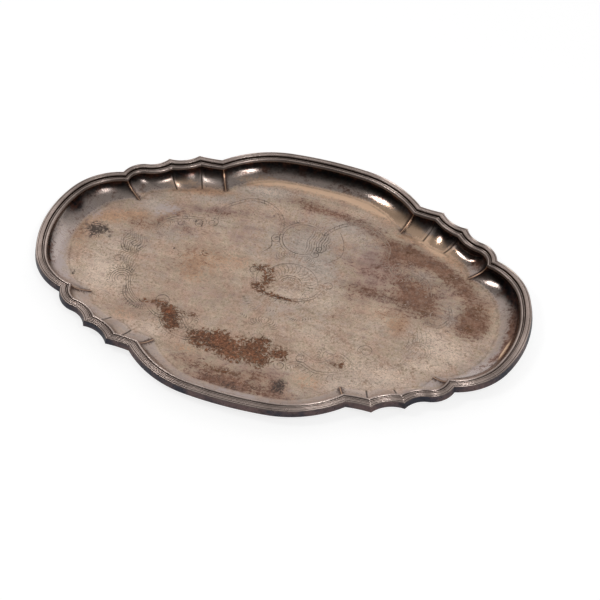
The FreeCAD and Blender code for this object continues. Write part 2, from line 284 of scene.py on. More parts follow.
# ---------------------------------------------------------------------------------------------
# Wear and painted light: tarnish, bare copper, stains, a painted reflection and painted warm light
# ---------------------------------------------------------------------------------------------
# Soft-edged patches of each kind of wear and of painted light: middle x and y, half-lengths along
# and across, turn in degrees, strength.
PATCHES = {
    # Cool grey clouds in the silver.
    "grey": [
        (12, 58, 34, 34, 0, 0.95), (30, 22, 26, 26, 0, 0.8), (-150, 60, 18, 12, -10, 1.3),
        (-150, 18, 20, 24, 0, 0.6), (-40, 52, 26, 20, 0, 0.6), (-50, 112, 34, 9, 8, 1.3),
        (136, -30, 26, 24, 0, 0.5), (5, -30, 46, 14, 0, 0.5), (150, 22, 24, 18, 0, 0.5),
        (-112, 34, 22, 20, 0, 0.5), (208, -36, 14, 26, -30, 0.8), (172, -66, 26, 8, 35, 0.7),
        (-118, -98, 34, 8, -12, 0.5), (-96, -118, 30, 8, -35, 0.6), (70, -124, 40, 7, 22, 0.6),
        (-90, 88, 34, 7, 14, 0.9), (120, -84, 34, 8, 14, 0.8), (126, 52, 16, 7, -10, 0.8),
        (164, 8, 9, 12, 0, 0.8), (40, 92, 26, 10, 0, 0.8), (-176, -24, 24, 30, 0, 0.5),
        (70, -108, 40, 8, 20, 0.6), (190, -10, 10, 24, 0, 0.3), (70, 70, 20, 20, 0, 0.6),
        (-88, -126, 36, 5, -20, 1.0), (20, -140, 60, 4, 3, 0.8), (-176, -62, 14, 5, -35, 0.8),
    ],
    # Bright, little-tarnished silver.
    "pale": [
        (-176, -24, 26, 32, 0, 0.8), (-150, -50, 24, 18, 0, 0.6), (170, -26, 24, 18, 0, 1.2),
        (118, -78, 42, 16, 0, 0.9), (100, -100, 40, 8, 10, 0.6), (158, -52, 20, 10, 30, 0.7),
        (60, -50, 40, 14, 0, 0.5), (-150, 60, 14, 9, 0, 0.7), (195, 46, 16, 14, 0, 0.3),
        (150, 80, 12, 8, -25, 0.7), (-100, -88, 26, 10, 0, 0.5), (30, 4, 26, 18, 0, 0.6),
        (-188, 58, 10, 10, 0, 0.4), (18, 20, 16, 16, 0, 0.4), (-44, 113, 34, 7, 6, 0.7),
        (150, -10, 12, 14, 0, 0.4),
    ],
    # A painted band of warm light along the foot of the wall.
    "painted_foot_light": [
        (0, 128, 60, 4.5, 0, 1.2), (-60, 122, 30, 4, 10, 0.9), (58, 121, 34, 5, -10, 1.5),
        (92, 110, 20, 6, -24, 1.5), (122, 96, 24, 5.5, -16, 1.1), (-132, 96, 24, 4.5, 17, 0.8),
        (221.5, -17, 1.6, 13, -12, 1.8), (128, 87, 18, 6, -28, 0.9), (-168, 68, 14, 5, 30, 0.5),
        (150, 84, 12, 5, -30, 0.7),
    ],
    # Purplish tarnish, streaked lengthwise.
    "mauve": [
        (-92, 72, 40, 6, 12, 0.9), (20, 103, 42, 6, -4, 0.5), (78, 56, 24, 18, 0, 0.9),
        (-125, -70, 20, 16, 20, 0.5), (-62, -34, 32, 16, 0, 0.4), (-10, -126, 42, 7, 0, 0.8),
        (36, -116, 9, 14, 0, 0.7), (152, 30, 14, 12, 0, 0.6), (-56, 50, 12, 16, 0, 0.6),
        (90, 20, 24, 16, 0, 0.5), (-176, 52, 16, 8, 0, 0.4), (0, -104, 50, 8, 0, 0.4),
        (104, 42, 12, 9, 0, 0.8), (-10, 80, 40, 5, 0, 0.4), (-112, 44, 14, 12, 0, 0.6),
        (76, 34, 14, 30, 0, 0.4), (196, -30, 8, 20, -20, 0.3),
    ],
    # Light golden tarnish; the patches along the foot of the wall are painted warm light.
    "tan": [
        (0, 124, 90, 5, 0, 0.5), (-72, 118, 26, 6, 12, 0.6), (76, 116, 24, 10, -14, 0.8),
        (-188, 33, 20, 9, 22, 1.15), (-160, 44, 18, 7, 28, 0.9), (-207, 4, 8, 22, 0, 0.7),
        (-130, 92, 26, 7, 15, 0.9), (-104, 98, 20, 5, 8, 0.9), (128, 90, 20, 8, -28, 1.3),
        (100, 96, 16, 6, 0, 1.0), (150, 82, 15, 7, -26, 1.3), (-112, 94, 22, 6, 10, 0.9),
        (168, 62, 12, 10, -40, 0.6), (-196, -14, 8, 26, 12, 0.4), (60, -104, 20, 12, 0, 0.5),
        (-60, -100, 26, 7, 0, 0.5), (120, -14, 9, 15, 0, 0.8), (190, 20, 18, 26, 0, 0.5),
        (-128, -78, 16, 10, 0, 0.5), (-82, 2, 24, 26, 0, 0.75), (-46, 16, 16, 14, 0, 0.4),
        (96, -4, 26, 12, 0, 0.4), (-150, 30, 16, 10, 20, 0.5),
    ],
    # Dark tarnish, streaked lengthwise, with lacy edges.
    "brown": [
        (98, 80, 22, 9, -12, 1.1), (110, 72, 24, 9, -8, 1.05), (134, 68, 18, 8, -16, 1.1),
        (152, 56, 14, 9, -26, 1.0), (88, 62, 12, 12, 0, 0.5), (104, 42, 12, 9, 0, 0.5),
        (128, 34, 20, 13, 0, 0.9), (138, 14, 17, 15, 0, 1.15), (118, 18, 12, 10, 0, 0.6),
        (170, 46, 9, 13, 0, 1.0), (184, 28, 12, 14, 0, 1.1), (182, 2, 14, 12, 0, 1.15),
        (176, 18, 7, 8, 0, 0.6), (196, 10, 7, 12, 0, 0.6), (78, 16, 20, 8, 0, 0.55),
        (-86, 8, 22, 20, 0, 0.4), (-150, 26, 22, 18, 0, 0.3), (-92, 71, 34, 8, 12, 0.25),
        (-82, 70, 18, 5, 8, 0.4), (-52, 82, 18, 6, 0, 0.25), (-138, 42, 5, 12, -24, 0.8),
        (-126, 56, 10, 4, 30, 0.7), (-110, 40, 6, 6, 0, 0.7), (-20, -114, 44, 6, 0, 0.8),
        (-6, -126, 42, 8, 0, 1.3), (14, -108, 12, 6, 0, 0.7), (-52, -108, 24, 5, 0, 0.3),
        (36, -117, 8, 12, 0, 0.8), (-8, 109, 20, 6, 0, 0.7), (26, 103, 30, 6, -6, 0.7),
        (62, 94, 18, 7, -16, 0.7), (4, 102, 24, 3, 0, 0.5), (-206, 10, 6, 22, 0, 0.35),
        (-125, -64, 18, 12, 0, 0.3), (150, -4, 10, 6, 0, 0.4), (122, -16, 6, 12, 0, 0.45),
        (78, 44, 24, 10, -10, 0.55), (96, 60, 20, 8, -10, 0.5), (86, 20, 24, 9, 0, 0.5),
        (118, 32, 14, 16, 0, 0.5), (110, -2, 12, 8, 0, 0.4), (186, 6, 12, 12, 0, 0.4),
        (150, 60, 12, 6, -24, 0.4), (-160, 34, 12, 8, 20, 0.4), (80, -76, 10, 5, 0, 0.5),
        (-106, -55, 12, 4, 0, 0.8), (-118, 92, 14, 4, 15, 0.4), (66, 4, 10, 8, 0, 0.3),
        (172, 80, 7, 7, 0, 1.0), (150, 92, 22, 9, -28, 0.5), (222, 44, 8, 18, 0, 0.9),
        (60, 132, 40, 8, -6, 0.45), (-60, 132, 40, 8, 6, 0.35), (224, 4, 7, 46, 0, 1.3),
        (214, -26, 5, 16, -30, 0.8), (-224, -30, 5, 20, 30, 0.7),
    ],
    # Plate gone down to the copper.
    "copper": [
        (-54, -82, 10, 9, 0, 1.1), (-36, -79, 10, 11, 0, 1.1), (-24, -86, 14, 12, 0, 1.25),
        (1, -81, 14, 13, 0, 1.3), (12, -93, 8, 9, 0, 1.0), (27, -79, 10, 8, 0, 1.2),
        (8, -69, 6, 4, 0, 1.0), (-14, -96, 12, 6, 0, 0.75), (-86, -67, 9, 9, -30, 1.2),
        (-79, -77, 8, 9, 0, 1.1), (-68, -60, 9, 3, 0, 0.8), (-100, -55, 8, 4, 0, 1.0),
        (-114, -58, 8, 3, 0, 1.0), (-92, -62, 7, 5, 0, 0.9), (-24, 15, 11, 5, 10, 1.0),
        (-13, 4, 7, 9, 0, 1.05), (-20, -8, 8, 5, 0, 0.9), (-4, -13.5, 12, 3, 0, 0.8),
        (12, -15.5, 12, 1.4, 0, 1.1), (-48, -92, 10, 6, 0, 0.65), (78, -76, 9, 4, 0, 0.6),
        (84, -72, 3, 6, 0, 0.5), (118, 12, 6, 5, 0, 0.5), (186, 30, 8, 5, 0, 0.6),
        (-195, 32, 8, 5, 0, 0.4), (-105, 8, 4, 10, 30, 0.45), (-82, 14, 8, 8, 0, 0.45),
        (60, -22, 5, 4, 0, 0.4), (138, 12, 10, 8, 0, 0.5), (182, 2, 9, 7, 0, 0.6),
        (104, 76, 14, 6, 0, 0.5), (152, 58, 10, 6, -20, 0.5), (-20, -114, 30, 4, 0, 0.55),
    ],
    # Nearly black stains.
    "stain": [
        (-195, 12, 10, 10, 0, 1.45), (-184, 17, 6, 6, 0, 1.0), (-100, 52, 6, 5, 0, 0.85),
        (-138, 38, 2.5, 7, 0, 0.75), (-131, 48, 8, 2, 30, 0.6), (-110, 13, 2, 2.4, 0, 1.2),
        (-176, 9, 3, 2.4, 0, 1.0), (-176, -63, 14, 2.2, -8, 1.1), (-192, -45, 1.4, 4, 0, 1.0),
        (-142, -93, 6, 2, -8, 0.9), (-112, -101, 8, 2, 5, 0.9), (165, -6, 6, 3, 0, 0.7),
        (-8, 81, 9, 1.8, 0, 0.8), (-33, 83, 4, 3, 0, 0.6), (-4, -129, 14, 5, 0, 0.8),
        (-26, -122, 20, 4, 0, 0.5), (37, -116, 7, 9, 0, 1.5), (16, -124, 8, 4, 0, 0.6),
        (174, -43, 6, 2.5, 0, 0.6), (109, -103, 7, 2, -10, 0.8), (90, -106, 2, 2, 0, 1.0),
        (118, -56, 12, 2, 0, 0.5),
    ],
    # Where the black tarnish under the border comes lower down the wall.
    "black": [
        (0, 145, 105, 26, 0, 1.0), (-140, 108, 55, 24, 20, 0.8), (-195, 72, 40, 26, 45, 0.7),
        (140, 106, 55, 24, -20, 0.9), (205, 62, 36, 40, 0, 1.0), (-234, -34, 12, 26, 0, 0.5),
        (-225, -36, 5, 20, 22, 1.3), (-218, 30, 7, 8, 0, 1.4), (212, 50, 8, 14, 40, 1.0),
    ],
    # Pale bluish painted reflection on the lower wall.
    "painted_lavender_reflection": [
        (-138, 58, 14, 9, 30, 0.9), (-100, 106, 26, 5, 14, 0.6), (-217, -22, 7, 26, 12, 1.3),
        (-202, -50, 7, 16, 40, 1.0), (-206, 34, 12, 14, -20, 0.8), (205, -44, 8, 20, -36, 1.2),
        (180, -66, 22, 6, 24, 1.1), (217, -20, 5, 16, -12, 0.8), (-90, -130, 44, 5, -18, 1.1),
        (0, -138, 60, 5, 0, 0.9), (90, -130, 40, 5, 18, 1.0), (-160, -86, 22, 5, -30, 0.8),
        (-205, 66, 22, 8, 40, 0.6),
    ],
    # Where the chasing is worn faint.
    "rubbed": [
        (110, -78, 55, 22, 0, 1.2), (152, -30, 30, 30, 0, 0.8),
    ],
    # Where the polished wall is a little dull.
    "hazed": [
        (-160, 90, 90, 45, 20, 1.3),
    ],
    # Glossy wall with little tarnish.
    "polished": [
        (0, 142, 110, 34, 0, 2.0), (-140, 108, 55, 26, 20, 2.0), (-200, 66, 40, 30, 45, 2.0),
        (140, 106, 55, 26, -20, 2.0), (203, 62, 30, 26, -45, 2.0), (-222, 14, 12, 26, 0, 1.4),
        (225, 8, 9, 38, 0, 1.3), (-222, -30, 9, 26, 15, 1.2), (208, -40, 12, 24, -34, 1.0),
        (-80, -128, 40, 8, -28, 0.9), (188, -62, 30, 9, 40, 0.7), (60, -138, 50, 8, 18, 0.5),
    ],
}


def patch_share(points, patches):
    """Sum over the patches of strength times e to the minus squared distance, the distance being
    measured in the patch's own half-lengths."""
    share = np.zeros(len(points))
    for x, y, half_length, half_breadth, turn, strength in patches:
        along_patch = heading(turn)
        offset = points[:, :2] - [x, y]
        reach = np.hypot(offset @ along_patch / half_length,
                         offset @ left_of(along_patch) / half_breadth)
        share += strength * np.exp(-reach ** 2)
    return share


def wear_and_light_marks(points):
    """A mark for each kind of patch, on the upper side only."""
    upper = points[:, 2] > SHEET / 2
    return {kind: patch_share(points, patches) * upper for kind, patches in PATCHES.items()}


# ---------------------------------------------------------------------------------------------
# Finishes
# ---------------------------------------------------------------------------------------------
SOFT_DAYLIGHT = 0.70            # how much of a base colour comes back under this tray's light


def tone(red, green, blue):
    """Base colour of a surface that looks like this, 0 to 255, in soft daylight."""
    shown = np.array([red, green, blue]) / 255
    linear = np.where(shown < 0.04045, shown / 12.92, ((shown + 0.055) / 1.055) ** 2.4)
    return tuple(linear / SOFT_DAYLIGHT)


class NodeWork:
    """The nodes of a material or a world.  Methods lay a node and give back its socket; values are
    sockets, numbers or colours."""

    def __init__(self, owner):
        owner.use_nodes = True
        self.tree = owner.node_tree

    def node(self, kind, **settings):
        node = self.tree.nodes.new(kind)
        for name, value in settings.items():
            setattr(node, name, value)
        return node

    def feed(self, socket, value):
        if isinstance(value, bpy.types.NodeSocket):
            self.tree.links.new(value, socket)
        elif isinstance(value, tuple):
            socket.default_value = (*value, 1.0)
        else:
            socket.default_value = value

    def feed_all(self, sockets, values):
        for socket, value in zip(sockets, values):
            self.feed(socket, value)

    def maths(self, kind, first, second):
        """Two numbers put together."""
        node = self.node("ShaderNodeMath", operation=kind)
        self.feed_all(node.inputs[:2], (first, second))
        return node.outputs[0]

    def plus(self, first, *others):
        for other in others:
            first = self.maths("ADD", first, other)
        return first

    def times(self, first, second):
        return self.maths("MULTIPLY", first, second)

    def seen_by_camera(self):
        """1 for what the camera looks at straight, 0 for what only lights and mirrors."""
        return self.node("ShaderNodeLightPath").outputs["Is Camera Ray"]


class Finish(NodeWork):
    """A material for one finish, its colour laid on in coats."""

    def __init__(self, name):
        self.material = bpy.data.materials.new(name)
        super().__init__(self.material)
        self.shader = self.tree.nodes["Principled BSDF"]
        self.on_object = self.node("ShaderNodeTexCoord").outputs["Object"]
        self.colour = None

    def mark(self, name):
        """A number carried by the mesh."""
        return self.node("ShaderNodeAttribute", attribute_name=name).outputs["Fac"]

    def noise(self, lumps, strength, detail=4.0, coarse=0.6, stretch=(1, 1, 1), curl=0.0):
        """Noise about 0 with so many lumps in a metre, drawn out by stretch and curled."""
        spread = self.node("ShaderNodeMapping")
        spread.inputs["Scale"].default_value = stretch
        self.feed(spread.inputs["Vector"], self.on_object)
        node = self.node("ShaderNodeTexNoise")
        for name, value in (("Vector", spread.outputs[0]), ("Scale", lumps), ("Detail", detail),
                            ("Roughness", coarse), ("Distortion", curl)):
            self.feed(node.inputs[name], value)
        return self.times(self.maths("SUBTRACT", node.outputs["Fac"], 0.5), strength)

    def edge(self, value, low, high, least=0.0, most=1.0):
        """Smooth step of a value from least to most between low and high."""
        node = self.node("ShaderNodeMapRange", interpolation_type="SMOOTHSTEP")
        self.feed_all(node.inputs[:5], (value, low, high, least, most))
        return node.outputs[0]

    def blend(self, share, first, second, mode="MIX"):
        """Second colour laid over the first by a share."""
        node = self.node("ShaderNodeMix", data_type="RGBA", blend_type=mode)
        self.feed_all((node.inputs[0], node.inputs[6], node.inputs[7]), (share, first, second))
        return node.outputs[2]

    def coat(self, share, colour, mode="MIX"):
        """One more coat over those laid so far."""
        self.colour = self.blend(share, self.colour, colour, mode)

    def shade(self, name, value):
        """Value of one of the shader's own sockets."""
        self.feed(self.shader.inputs[name], value)

    def relief(self, height, depth_mm, strength):
        """Fine relief on the surface from a height about 0 to 1."""
        node = self.node("ShaderNodeBump")
        for name, value in (("Strength", strength), ("Distance", depth_mm * MM), ("Height", height)):
            self.feed(node.inputs[name], value)
        self.shade("Normal", node.outputs[0])


def worn_plate():
    """The body's finish: warm silver plate with clouds of tarnish, bare copper where it has been
    rubbed through, stains, black tarnish under the border, a darker line along the foot of the
    booge, painted shade in the creases and beside the ridges, a painted highlight on the ridges,
    and a pale bluish painted reflection and painted warm light on the wall."""
    finish = Finish("worn_silver_plate")
    plus, times, mark = finish.plus, finish.times, finish.mark
    edge, blend, coat = finish.edge, finish.blend, finish.coat
    cloud = finish.noise(28, 1.8)
    mottle = finish.noise(105, 3.0, detail=8, coarse=0.78)
    grain = finish.noise(460, 3.6, detail=5, coarse=0.75)
    speckle = finish.noise(1000, 3.0, detail=3, coarse=0.7)
    strokes = finish.noise(1, 2.2, detail=5, coarse=0.75, stretch=(90, 330, 100), curl=0.4)
    lace = finish.noise(200, 5.2, detail=8, coarse=0.7, curl=1.6)
    drift = finish.noise(60, 2.6, detail=4, coarse=0.65, curl=0.6)
    smear = finish.noise(1, 2.6, detail=6, coarse=0.7, stretch=(16, 75, 40), curl=0.5)
    ragged = plus(cloud, mottle, grain)
    dragged = plus(strokes, grain, times(mottle, 0.8))
    fringe = plus(mottle, grain)
    lacy = plus(lace, times(grain, 0.5))

    def where(kind, low, high, unevenness, most=1.0):
        """Share of a kind of wear, with an edge made uneven by noise."""
        return edge(plus(mark(kind), unevenness), low, high, 0.0, most)

    def near(kind, low, high, unevenness, most=1.0):
        """The same, with the noise only near the patches, so that no specks stray elsewhere."""
        return where(kind, low, high, times(unevenness, edge(mark(kind), 0.05, 0.5)), most)

    # The plate and its tarnish.
    silver = blend(edge(ragged, -0.7, 0.7), tone(152, 126, 107), tone(184, 162, 144))
    clouded = blend(edge(drift, -0.5, 0.5), tone(166, 136, 120), tone(172, 158, 138))
    finish.colour = blend(0.5, silver, clouded)
    coat(where("grey", 0.0, 1.3, ragged, 0.9), tone(158, 147, 139))
    coat(where("pale", 0.0, 1.3, ragged, 0.9), tone(200, 180, 163))
    coat(where("mauve", 0.0, 1.0, dragged, 0.8), tone(140, 115, 108))
    # Golden tarnish, and painted warm light where the patches lie along the foot of the wall.
    coat(near("tan", 0.1, 1.1, times(ragged, 1.3), 0.8), tone(172, 136, 109))
    brown = times(where("brown", 0.08, 1.12, dragged, 0.95), edge(lacy, -1.6, 0.5, 0.5, 1.0))
    streaky = blend(edge(dragged, -0.8, 0.8), tone(131, 93, 73), tone(74, 46, 34))
    coat(brown, streaky)

    # Bare copper inside a darker fringe, stains, pits and bright specks.
    red_brown = blend(edge(grain, -0.35, 0.35), tone(80, 52, 37), tone(118, 78, 55))
    orange = edge(plus(mark("copper"), cloud), 1.5, 2.0, 0.0, 0.55)
    copper = blend(orange, red_brown, tone(140, 74, 42))
    coat(near("copper", 0.36, 0.8, lacy, 0.9), tone(88, 64, 46))
    coat(near("copper", 0.6, 1.2, lacy), copper)
    coat(near("stain", 0.36, 1.3, lacy, 0.95), tone(66, 55, 50))
    pits = times(edge(fringe, -0.5, -1.1, 0.0, 0.6), edge(mark("pale"), 0.1, 0.8, 1.0, 0.4))
    coat(pits, tone(92, 70, 57))
    coat(edge(fringe, 0.4, 1.0, 0.0, 0.5), tone(210, 190, 174))
    shade = plus(grain, strokes, times(speckle, 0.5))
    coat(1.0, edge(shade, -0.75, 0.75, 0.73, 1.25), "MULTIPLY")
    coat(1.0, edge(smear, -0.7, 0.7, 0.84, 1.16), "MULTIPLY")

    # The wall: greyed, polished in places, a pale bluish painted reflection, painted warm light near
    # its foot and black under the border.
    wall = mark("rise")
    greyed = times(edge(wall, 0.0, 0.2), edge(ragged, -0.8, 0.8, 0.35, 0.75))
    coat(times(greyed, edge(mark("tan"), 0.3, 1.0, 1.0, 0.2)), tone(152, 139, 134))
    # Pale bluish tone on the wall: a painted reflection.
    coat(near("painted_lavender_reflection", 0.2, 1.1, fringe, 0.8), tone(168, 155, 152))
    above_foot = edge(plus(wall, times(fringe, 0.12)), 0.03, 0.24)
    polished = times(above_foot, where("polished", 0.3, 0.9, times(fringe, 0.15)))
    coat(times(polished, 0.6), tone(146, 136, 132))
    coat(times(polished, edge(mottle, 0.0, 0.5, 0.0, 0.6)), tone(104, 76, 60))
    coat(times(polished, brown), streaky)
    # Painted warm light along the foot of the wall.
    coat(near("painted_foot_light", 0.2, 1.2, times(fringe, 0.5), 0.9), tone(206, 174, 147))
    reach = plus(wall, times(mark("black"), 0.3), times(ragged, 0.12))
    blackened = blend(edge(mottle, -0.1, 0.35), tone(26, 24, 26), tone(70, 46, 38))
    coat(edge(reach, 0.62, 1.2), blackened)

    # Painted shade beside the ridges and in the creases, a painted highlight along the ridges, a
    # darker line along the foot, the chasing.
    on_wall = edge(wall, 0.004, 0.05)
    # Painted shade beside the ridges.
    beside_ridge = edge(plus(mark("ridge"), times(grain, 3.0)), 4.6, 1.0, 0.0, 0.9)
    coat(times(on_wall, beside_ridge), tone(62, 42, 34))
    # Painted shade in the creases.
    coat(times(on_wall, edge(mark("crease"), 1.3, 0.3, 0.0, 0.85)), tone(36, 28, 24))
    # Painted highlight along the ridges.
    coat(times(on_wall, edge(mark("ridge"), 0.7, 0.15, 0.0, 0.6)), tone(206, 168, 140))
    # A darker line along the foot of the wall.
    coat(times(mark("foot_line"), edge(mottle, -0.6, 0.6, 0.0, 0.5)), tone(70, 54, 46))
    unworn = times(edge(plus(drift, mottle), -0.7, 0.5, 0.2, 1.0),
                   edge(mark("rubbed"), 0.1, 0.9, 1.0, 0.4))
    chased_tone = blend(brown, tone(50, 40, 34), tone(176, 158, 144))
    coat(times(mark("groove"), unworn), chased_tone)

    finish.shade("Base Color", finish.colour)
    finish.shade("Metallic", edge(polished, 0.0, 1.0, 0.6, 0.95))
    tarnished = edge(ragged, -1.2, 1.2, 0.34, 0.52)
    glossy = edge(mark("hazed"), 0.2, 1.0, 0.15, 0.25)
    dull = edge(polished, 0.0, 1.0, tarnished, glossy)
    dull = finish.maths("MAXIMUM", dull, edge(mark("crease"), 7.0, 0.5, 0.0, 0.42))
    dull = finish.maths("MAXIMUM", dull, edge(mark("ridge"), 3.0, 1.0, 0.0, 0.34))
    finish.shade("Roughness", dull)
    finish.relief(plus(grain, strokes), 0.05, 0.1)
    return finish.material


def mount_plate():
    """The border's finish: grey silver plate, brighter on its ridges, dark dirt and painted shade in
    its grooves, a painted shadow in the channel inside the reeds, and a blue-black to brown
    tarnish on the turned-down skirt, darkened further as a painted dark reflection."""
    finish = Finish("border_plate")
    edge, blend, coat = finish.edge, finish.blend, finish.coat
    cloud = finish.noise(26, 1.6)
    mottle = finish.noise(120, 1.6, detail=6, coarse=0.7)
    grain = finish.noise(900, 1.2)
    finish.colour = blend(edge(cloud, -0.3, 0.3), tone(144, 130, 123), tone(178, 162, 154))
    coat(edge(mottle, 0.1, 0.5, 0.0, 0.5), tone(140, 118, 106))
    # Dirt and painted shade in the grooves, a painted shadow in the channel.
    darkening = finish.plus(finish.mark("groove"), finish.times(mottle, 0.1))
    coat(edge(darkening, 0.1, 0.5), tone(52, 42, 37))
    on_skirt = finish.mark("skirt")
    # Blue-black to brown tarnish on the skirt, darkened further as a painted dark reflection.
    patina_and_dark_reflection = blend(edge(cloud, -0.16, 0.16), tone(50, 50, 60), tone(104, 84, 82))
    patina_and_dark_reflection = blend(edge(mottle, 0.0, 0.4, 0.0, 0.75), patina_and_dark_reflection, tone(30, 26, 30))
    coat(on_skirt, patina_and_dark_reflection)
    finish.shade("Base Color", finish.colour)
    finish.shade("Metallic", edge(on_skirt, 0.0, 1.0, 0.9, 0.45))
    finish.shade("Roughness", edge(mottle, -0.6, 0.6, 0.24, 0.34))
    finish.relief(grain, 0.03, 0.1)
    return finish.material


body_plate = worn_plate()
border_plate = mount_plate()


# ---------------------------------------------------------------------------------------------
# Body: field, booge and the flange under the border
# ---------------------------------------------------------------------------------------------
FOOT_SHARE = 0.375              # straight part of the wall's rise, which makes a crease at its foot
# How far the hammered lobes are pushed out of the smooth wall half-way up, in plan.
PUSHED_OUT = {"turn_heading": -3.0, "turn": (0.6, 1.4), "spur": (1.6, 2.0), "scallop": (-0.4, -0.7),
              "ear": (1.0, 2.2), "hood": (0.2, 0.5), "end_cusp": (-0.6, -0.3),
              "side_cusp": (-0.3, -0.6)}
FLANGE_INSETS = (9.0, 3.0)      # rows of the flange under the border, from the outermost edge
FOOT_DARKENING_WIDTH = 0.9               # how far the darkening reaches from the foot line
FIELD_REACH, WALL_REACH = 160.0, 17.0   # how far field and wall reach from the foot, on average
FAR = 99.0                      # a gap too wide to matter


def booge_rows(lower_by, angles):
    """Rows down the wall, a quarter turn at the border to none at the foot.  Plan: the outline blends
    from the border's inner edge to the foot by the sine of the angle, and its lobes swell by four
    times that sine times 1 minus it.  Height: a straight share of that sine, and the rest rises by 1
    minus its cosine."""
    top = inset_quarter(BORDER_WIDTH - lower_by)
    foot = foot_quarter()
    rows = []
    for angle in angles:
        out = math.sin(angle)
        outline = between(foot, top, out)
        swell = 4 * out * (1 - out)
        for name, push in PUSHED_OUT.items():
            outline[name] = outline[name] + np.array(push) * swell
        rise = FOOT_SHARE * out + (1 - FOOT_SHARE) * (1 - math.cos(angle))
        rows.append(lifted(softened(ring(outline)), SHEET + (SEAT_Z - SHEET) * rise - lower_by))
    return rows


def gap_to_columns(grid, corners):
    """Distance from each point of the rows to the nearest of the named corners on its own row."""
    columns = np.array([column_at(quarter, corner) for quarter in range(4) for corner in corners])
    gaps = np.linalg.norm(grid[:, :, None, :] - grid[:, None, columns, :], axis=3)
    return gaps.min(axis=2)


def sheet_side(lower_by, shares, angles):
    """One side of the sheet, from the middle of the field out to the flange's edge.  Field rows are
    the foot line drawn together by a share."""
    foot = softened(ring(foot_quarter()))
    field = [lifted(foot * share, SHEET - lower_by) for share in shares]
    flange = [lifted(ring(inset_quarter(inset)), SEAT_Z - lower_by) for inset in FLANGE_INSETS]
    return field + booge_rows(lower_by, angles) + flange


def body_piece():
    """Closed sheet: rows run from the middle of the field out over the booge to the flange's edge,
    round it and back underneath."""
    shares = np.concatenate([np.linspace(0.012, 0.955, 60), [0.968, 0.98, 0.989, 0.995, 0.999]])
    angles = np.linspace(0, math.pi / 2, 31)
    under_shares, under_angles = shares[::6], angles[::2]
    under = sheet_side(SHEET, under_shares, under_angles)
    rows = sheet_side(0.0, shares, angles) + under[::-1]
    vertices = np.vstack(rows + [np.array([[0, 0, SHEET], [0, 0, 0]])])

    on_flange = np.ones(len(FLANGE_INSETS))
    row_rise = np.concatenate([0 * shares, np.sin(angles), on_flange,
                               on_flange, np.sin(under_angles)[::-1], 0 * under_shares])
    gap_from_foot = np.concatenate([(1 - shares) * FIELD_REACH, np.sin(angles) * WALL_REACH,
                                    on_flange * FAR, np.full(len(under), FAR)])
    # A darker line along the foot, fading off to either side.
    darkening = np.exp(-(gap_from_foot / FOOT_DARKENING_WIDTH) ** 2)
    marks = wear_and_light_marks(vertices)
    for name, by_row in (("rise", row_rise), ("foot_line", darkening)):
        marks[name] = np.append(np.repeat(by_row, ROUND_STEPS), [0, 0])
    for name, corners in (("ridge", (END_CUSP, SIDE_CUSP)), ("crease", (SPUR, EAR))):
        marks[name] = np.append(gap_to_columns(np.array(rows), corners).ravel(), [FAR, FAR])

    first_row = np.arange(ROUND_STEPS)
    last_row = first_row + (len(rows) - 1) * ROUND_STEPS
    faces = [grid_faces(len(rows), ROUND_STEPS, closed_columns=True),
             fan(first_row, len(vertices) - 2),
             fan(last_row, len(vertices) - 1)[:, ::-1]]
    return mesh_object("salver_body", vertices, faces, body_plate, marks=marks)


# ---------------------------------------------------------------------------------------------
# Border: a reeded moulding in eight mitred sections
# ---------------------------------------------------------------------------------------------
def reed(start, end, height, steps=6):
    """Rounded reed between two points of the section: the chord plus height times the sine of half
    a turn."""
    share = np.linspace(0, 1, steps + 1)[:-1, None]
    chord = np.array(start) + (np.array(end) - np.array(start)) * share
    return chord + np.array([0, 1]) * height * np.sin(math.pi * share)


BEAD_FOOT, BEAD_TOP = 8.55, 9.8         # outer foot and crown of the inner bead, by inset
CHANNEL_FROM, CHANNEL_TO = 6.8, 8.9     # hollow between the reeds and the bead, by inset
REED_TOP = 17.2                         # the reeds rise above this, the channel lies below


def border_section_line():
    """Closed section as (inset, height), over the top from the skirt's lower edge."""
    parts = [
        np.array([(0.35, SKIRT_Z), (0.0, SKIRT_Z + 0.35), (0.1, SKIRT_Z + 1.2), (0.55, SKIRT_Z + 3.4),
                  (0.95, SKIRT_Z + 5.3)]),
        reed((1.05, 16.6), (2.75, 17.1), 0.75, 10),
        reed((3.0, 17.05), (4.15, 17.3), 0.3),
        reed((4.25, 17.3), (5.35, 17.5), 0.32),
        reed((5.45, 17.5), (6.75, 17.45), 0.72, 8),
        np.array([(6.85, 17.1), (7.02, 16.2), (7.12, 15.9)]),
        reed((7.35, 15.8), (8.05, 15.75), 0.22),
        np.array([(8.15, 15.7), (8.4, 15.6)]),
        reed((BEAD_FOOT, 15.6), (11.45, 15.0), 1.1, 12),
        np.array([(11.5, 14.9), (11.6, SEAT_Z), (2.6, SEAT_Z), (1.45, SKIRT_Z)]),
    ]
    return np.vstack(parts)


SECTION_LINE = border_section_line()
# The deep cusps, where the sections meet in mitres, and the sections between them, anticlockwise; the
# first section starts at the last cusp.
MITRES = [column_at(quarter, corner) for quarter in range(4)
          for corner in ((END_CUSP, SIDE_CUSP), (SIDE_CUSP, END_CUSP))[quarter % 2]]
SECTIONS = ("border_end_right", "border_corner_back_right", "border_side_back",
            "border_corner_back_left", "border_end_left", "border_corner_front_left",
            "border_side_front", "border_corner_front_right")
BORDER_RINGS = np.array([lifted(ring(inset_quarter(inset)), z) for inset, z in SECTION_LINE])


